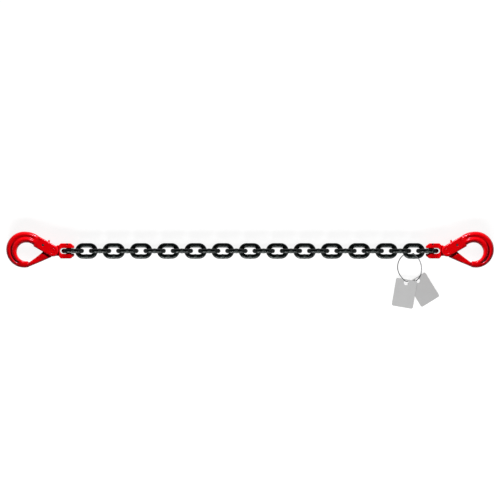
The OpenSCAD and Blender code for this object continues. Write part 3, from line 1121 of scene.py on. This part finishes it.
def tumbled_plate(node):
    made = skin_of(node, node + "_sheet")
    bevel = made.modifiers.new("tumbled edges", "BEVEL")
    bevel.width = EDGE_ROUND
    bevel.segments = EDGE_STEPS
    bevel.limit_method = "ANGLE"
    bevel.angle_limit = SHARP_EDGE
    apply_modifiers(made)
    paint(made.data, PLATE_GREY)
    face_up = max(made.data.polygons, key=lambda p: p.area).normal.copy()
    for polygon in made.data.polygons:
        polygon.use_smooth = abs(polygon.normal.dot(face_up)) < FLAT_FACE
    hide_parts(node)
    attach(made, node)
    return made


plates = [tumbled_plate(node) for node in ("tag_front", "tag_back")]
print([(p.name, triangles(p)) for p in plates])

# %% [markdown]
# ## The floor
#
# The background is plain white and the shadow stays. For the camera and for mirror
# images the floor is mostly a white that glows by itself, with a share of matt surface
# that the shadow darkens. Every other ray meets a plain pale matt floor, so the floor
# throws no more light on the chain than a real one.

# %% The floor
FLOOR_HALF = 8
FLOOR_GAP = 0.2 * MM
MATT_GREY = colour(150, 150, 150)
VEIL_GREY = (0.2, 0.2, 0.2, 1)
WHITE = (1, 1, 1, 1)
GLOW = 0.9


def floor_paint():
    f = Finish("studio_floor")
    rays = f.node("ShaderNodeLightPath")
    seen = rays.math("MAXIMUM", rays, rays.output("Is Glossy Ray"))
    seen = seen.math("MAXIMUM", seen, rays.output("Is Transmission Ray"))
    matt = f.node("ShaderNodeBsdfDiffuse", None, {"Color": MATT_GREY})
    veil = f.node("ShaderNodeBsdfDiffuse", None, {"Color": VEIL_GREY})
    glow = f.node("ShaderNodeEmission", None, {"Color": WHITE, "Strength": GLOW})
    white = f.node("ShaderNodeAddShader", None, {0: veil, 1: glow})
    f.node_output(f.node("ShaderNodeMixShader", None, {0: seen, 1: matt, 2: white}))
    return f.material


def make_floor():
    level = frame_box[0].z - FLOOR_GAP
    corners = [(-FLOOR_HALF, -FLOOR_HALF, level), (FLOOR_HALF, -FLOOR_HALF, level),
               (FLOOR_HALF, FLOOR_HALF, level), (-FLOOR_HALF, FLOOR_HALF, level)]
    mesh = bpy.data.meshes.new("studio_floor")
    mesh.from_pydata(corners, [], [(0, 1, 2, 3)])
    paint(mesh, floor_paint())
    floor = put("studio_floor", mesh)
    return floor


floor = make_floor()
print("floor at", round(floor.data.vertices[0].co.z / MM, 2), "mm")

# %% [markdown]
# ## The light
#
# Gloss shows the room, so the lamps are placed for their reflections. On the chain's
# round wire the bright band lies where the skin mirrors a lamp. In the picture it runs
# along the lower flank, about halfway from the top of the wire to its edge, which puts a
# wide soft lamp low on the near side. A smaller lamp low on the left puts the bright
# spots on the links' lower left bends, and a weak one at the right end keeps that side
# from going flat.
#
# The hooks were lit from the far side: their upper edges shine and their lower ones fall
# off to dark. One lamp shades their broad faces and a narrow one, lower down, draws the
# bright rims. The plates look the same grey all over, so their lamp is wide and high. A
# picture for a catalogue is often put together like that. Light linking does the same
# here: a lamp lights only the pieces of its own collection.

# %% Lamps
# Direction and elevation in degrees, distance, width and height in metres, watts
LAMPS = {
    "chain": {"chain_softbox": (-92, 36, 2.2, 2.6, 0.4, 60),
              "low_softbox": (-90, 12, 2.2, 2.6, 0.2, 8),
              "spark_softbox": (-108, 21, 2.2, 0.4, 0.25, 22),
              "end_softbox": (0, 50, 2.4, 0.5, 1.2, 8)},
    "hooks": {"hook_softbox": (90, 42, 1.1, 0.34, 0.16, 15),
              "rim_softbox": (90, 16, 0.8, 0.3, 0.06, 5)},
    "plates": {"plate_softbox": (-90, 75, 2.2, 1.2, 1.2, 46)},
}
LIT_PIECES = {
    "chain": [*links, *springs, ring, floor],
    "hooks": [*forgings, *pins, *slit_pins],
    "plates": plates,
}


def softbox(name, direction, elevation, distance, width, height, power):
    """A rectangular lamp aimed at the chain, at an angle from +X and above the floor."""
    turn, rise = math.radians(direction), math.radians(elevation)
    back = Vector((math.cos(turn) * math.cos(rise), math.sin(turn) * math.cos(rise),
        math.sin(rise)))
    data = bpy.data.lights.new(name, "AREA")
    data.shape = "RECTANGLE"
    data.size = width
    data.size_y = height
    data.energy = power
    lamp = put(name, data)
    lamp.location = back * distance
    lamp.rotation_euler = back.to_track_quat("Z", "Y").to_euler()
    return lamp


def lights_only(lamp, pieces):
    group = bpy.data.collections.new(lamp.name + "_pieces")
    for piece in pieces:
        group.objects.link(piece)
    lamp.light_linking.receiver_collection = group


for group, lamps in LAMPS.items():
    for name, placing in lamps.items():
        lights_only(softbox(name, *placing), LIT_PIECES[group])
    print(group, "lit by", list(lamps))

# %% [markdown]
# ## The room
#
# The world stands for the room's walls, by the direction's height alone. It is nearly
# dark overhead, so that gloss looks deep, lighter down the walls, and white in a thin
# band at the horizon, where a low camera looks past the floor's edge. A height is the
# sine of the angle above the floor.

# %% The room
CEILING_HEIGHT, WALL_FOOT = 0.85, 0.1
CEILING_LIGHT, WALL_LIGHT = 0.04, 0.18
HORIZON_TOP, HORIZON_FOOT, HORIZON_LIGHT = 0.2, 0.08, 0.7


def light_room():
    world = bpy.data.worlds.new("studio_room")
    world.use_nodes = True
    room = Tree(world.node_tree)
    room.nodes.nodes.clear()
    direction = room.node("ShaderNodeTexCoord", None, None, "Generated")
    height = room.node("ShaderNodeSeparateXYZ", None, {0: direction}, "Z")
    walls = room.ramp(height, CEILING_HEIGHT, WALL_FOOT, CEILING_LIGHT, WALL_LIGHT)
    horizon = room.ramp(height, HORIZON_TOP, HORIZON_FOOT, 0, HORIZON_LIGHT)
    background = room.node("ShaderNodeBackground", None,
        {"Color": WHITE, "Strength": walls + horizon})
    end = room.nodes.nodes.new("ShaderNodeOutputWorld")
    room.nodes.links.new(background.socket, end.inputs["Surface"])
    bpy.context.scene.world = world


light_room()
print("world:", bpy.context.scene.world.name)
